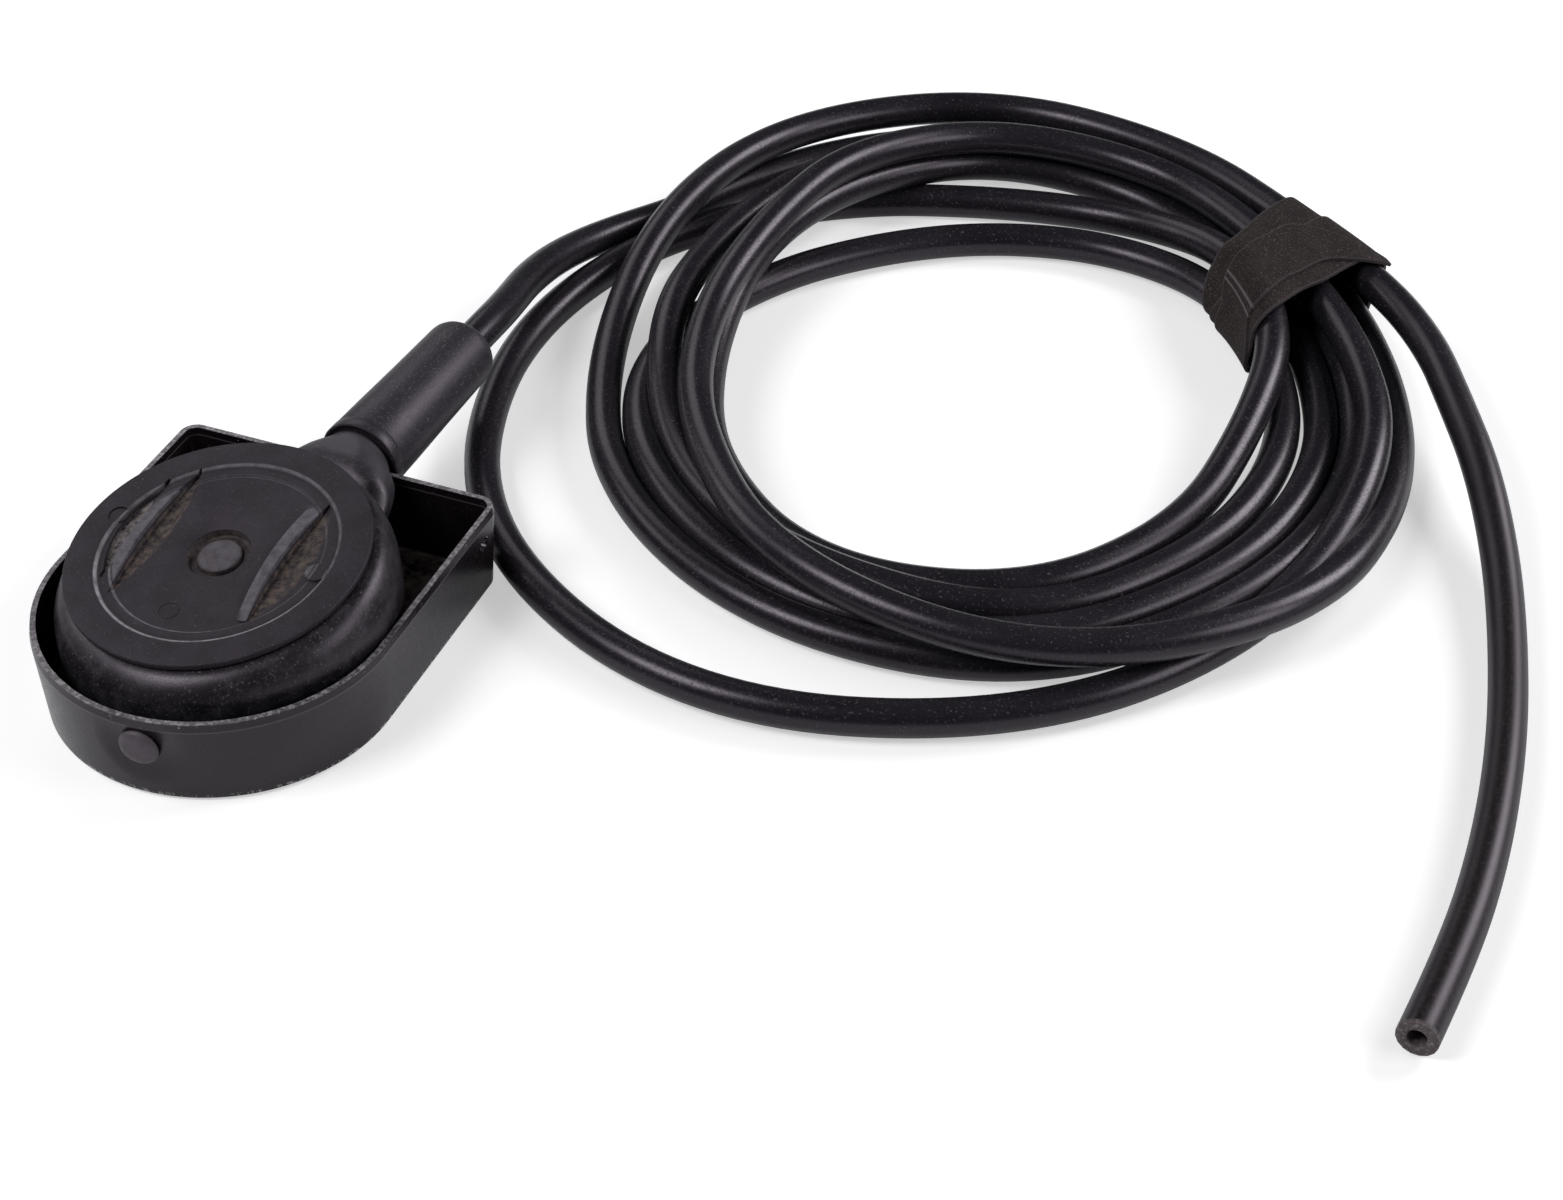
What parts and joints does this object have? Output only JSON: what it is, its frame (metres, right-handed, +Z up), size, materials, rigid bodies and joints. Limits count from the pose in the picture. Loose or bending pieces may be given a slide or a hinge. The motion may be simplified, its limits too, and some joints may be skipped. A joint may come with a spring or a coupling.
{
  "type": "pneumatic foot shutter release",
  "caption": "Foot operated air release: a disc-topped rubber bellows in a round-fronted steel pan, with a long air hose coiled and tied by a strap.",
  "frame": {"origin": "On the floor, under the centre of the pan's half-round front end.", "axes": "+Y from the foot end to the hose, +Z up, +X to the side on which the coil lies."},
  "size_m": [0.2868, 0.2973, 0.0346],
  "materials": {
    "pad_rubber": "matt sheet rubber",
    "black_paint": "glossy black paint, chipped to bare steel at the rim and the hole",
    "plug_rubber": "dusty black rubber",
    "plate_plastic": "matt black hard plastic, dusty in the recesses",
    "bellows_rubber": "satin black rubber",
    "seat_plastic": "natural nylon",
    "spring_steel": "plain spring wire",
    "ring_plastic": "matt black hard plastic",
    "sleeve_rubber": "satin black hard rubber",
    "nipple_brass": "turned brass",
    "hose_rubber": "satin black rubber hose",
    "strap_fabric": "black woven hook and loop tape"
  },
  "bodies": {
    "base": {"base_pad": "pad_rubber", "pan": "black_paint", "front_plug": "plug_rubber", "bellows": "bellows_rubber", "lower_spring_seat": "seat_plastic", "return_spring": "spring_steel", "sleeve_ring": "ring_plastic", "sleeve": "sleeve_rubber", "hose_nipple": "nipple_brass", "hose_lead": "hose_rubber", "hose_coil": "hose_rubber", "hose_tail": "hose_rubber", "strap": "strap_fabric", "strap_end": "strap_fabric"},
    "plate": {"foot_plate": "plate_plastic", "upper_spring_seat": "seat_plastic"}
  },
  "joints": [
    {"name": "plate_press", "type": "slide", "parent": "base", "child": "plate", "axis": [0, 0, -1], "range_m": [0, 0.008], "stiffness_N_per_m": 1500, "springref_m": -0.004, "deforming": ["bellows", "return_spring"]}
  ]
}
